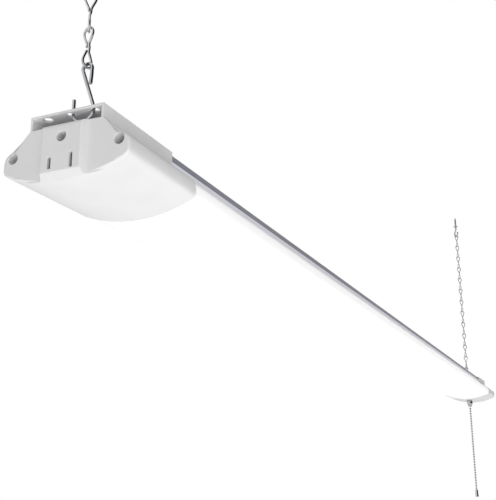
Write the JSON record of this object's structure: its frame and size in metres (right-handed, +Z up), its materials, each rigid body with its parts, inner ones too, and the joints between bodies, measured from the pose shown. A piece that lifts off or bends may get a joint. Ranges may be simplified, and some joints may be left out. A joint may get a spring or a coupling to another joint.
{
  "type": "hanging shop light",
  "caption": "Long wrap-around LED shop light hung on two jack chains, with a socket in one end cap and a bead-chain pull switch at the other.",
  "frame": {"origin": "on the ceiling plane, midway between the two ceiling hooks' shanks", "axes": "+X along the lamp from the socket end to the pull-switch end, +Z up, +Y across the lamp so that the axes are right-handed"},
  "size_m": [1.2246, 0.0742, 0.5119],
  "materials": {
    "hook_steel": "zinc plated",
    "chain_steel": "bright plated",
    "bead_steel": "polished",
    "channel_paint": "satin grey paint",
    "lens": "milky, lit from inside",
    "tray_metal": "white-coated sheet",
    "board_white": "white solder mask",
    "chip": "phosphor",
    "driver_board": "circuit board",
    "cap_plastic": "satin, light grey",
    "bracket_steel": "zinc plated",
    "screw_steel": "plated",
    "socket_plastic": "moulded",
    "brass": "plain",
    "wire_cover": "satin",
    "terminal_plastic": "moulded",
    "bushing": "matt",
    "switch_plastic": "moulded"
  },
  "bodies": {
    "ceiling": {"near_ceiling_hook": "hook_steel", "far_ceiling_hook": "hook_steel"},
    "top_links": {"near_top_link": "chain_steel", "far_top_link": "chain_steel"},
    "near_chain": {"near_chain": "chain_steel"},
    "far_chain": {"far_chain": "chain_steel"},
    "lamp": {"near_s_hook": "chain_steel", "far_s_hook": "chain_steel", "channel": "channel_paint", "diffuser": "lens", "led_tray": "tray_metal", "led_boards": "board_white", "led_chips": "chip", "driver": "driver_board", "near_end_cap": "cap_plastic", "near_end_bracket": "bracket_steel", "near_cap_screws": "screw_steel", "socket_block": "socket_plastic", "hot_contact": "brass", "neutral_contact": "brass", "earth_contact": "brass", "through_wires": "wire_cover", "terminal_block": "terminal_plastic", "far_end_cap": "cap_plastic", "far_end_bracket": "bracket_steel", "far_cap_screws": "screw_steel", "inlet_bushing": "bushing", "switch_body": "switch_plastic", "switch_bell": "bead_steel"},
    "pull_rod": {"pull_rod": "bead_steel"},
    "pull_neck": {"pull_neck": "bead_steel"},
    "pull_chain": {"pull_chain": "bead_steel", "pull_bell": "bead_steel"}
  },
  "joints": [
    {"name": "sway", "type": "hinge", "parent": "ceiling", "child": "top_links", "pos_m": [-0.6055, -0.0075, -0.02016], "axis": [0.9999, 0.0124, 0], "range_deg": [-20, 20]},
    {"name": "near_swing", "type": "hinge", "parent": "top_links", "child": "near_chain", "pos_m": [-0.6055, -0.0075, -0.03891], "axis": [0, 1, 0], "range_deg": [-15, 15]},
    {"name": "far_swing", "type": "hinge", "parent": "top_links", "child": "far_chain", "pos_m": [0.6055, 0.0075, -0.03891], "axis": [0, 1, 0], "range_deg": [-15, 15]},
    {"name": "lamp_level", "type": "hinge", "parent": "near_chain", "child": "lamp", "pos_m": [-0.6055, -0.0075, -0.26942], "axis": [0, 1, 0], "range_deg": [-15, 15]},
    {"name": "pull_slide", "type": "slide", "parent": "lamp", "child": "pull_rod", "axis": [0, 0, -1], "range_m": [0, 0.006], "stiffness_N_per_m": 500, "springref_m": -0.006},
    {"name": "pull_swing_along", "type": "hinge", "parent": "pull_rod", "child": "pull_neck", "pos_m": [0.5645, 0, -0.34242], "axis": [0, 1, 0], "range_deg": [-40, 40]},
    {"name": "pull_swing_across", "type": "hinge", "parent": "pull_neck", "child": "pull_chain", "pos_m": [0.5645, 0, -0.34671], "axis": [1, 0, 0], "range_deg": [-40, 40]}
  ],
  "couplings": [
    {"joint": "near_swing", "follows": "lamp_level", "ratio": -1},
    {"joint": "far_swing", "follows": "lamp_level", "ratio": -1}
  ]
}
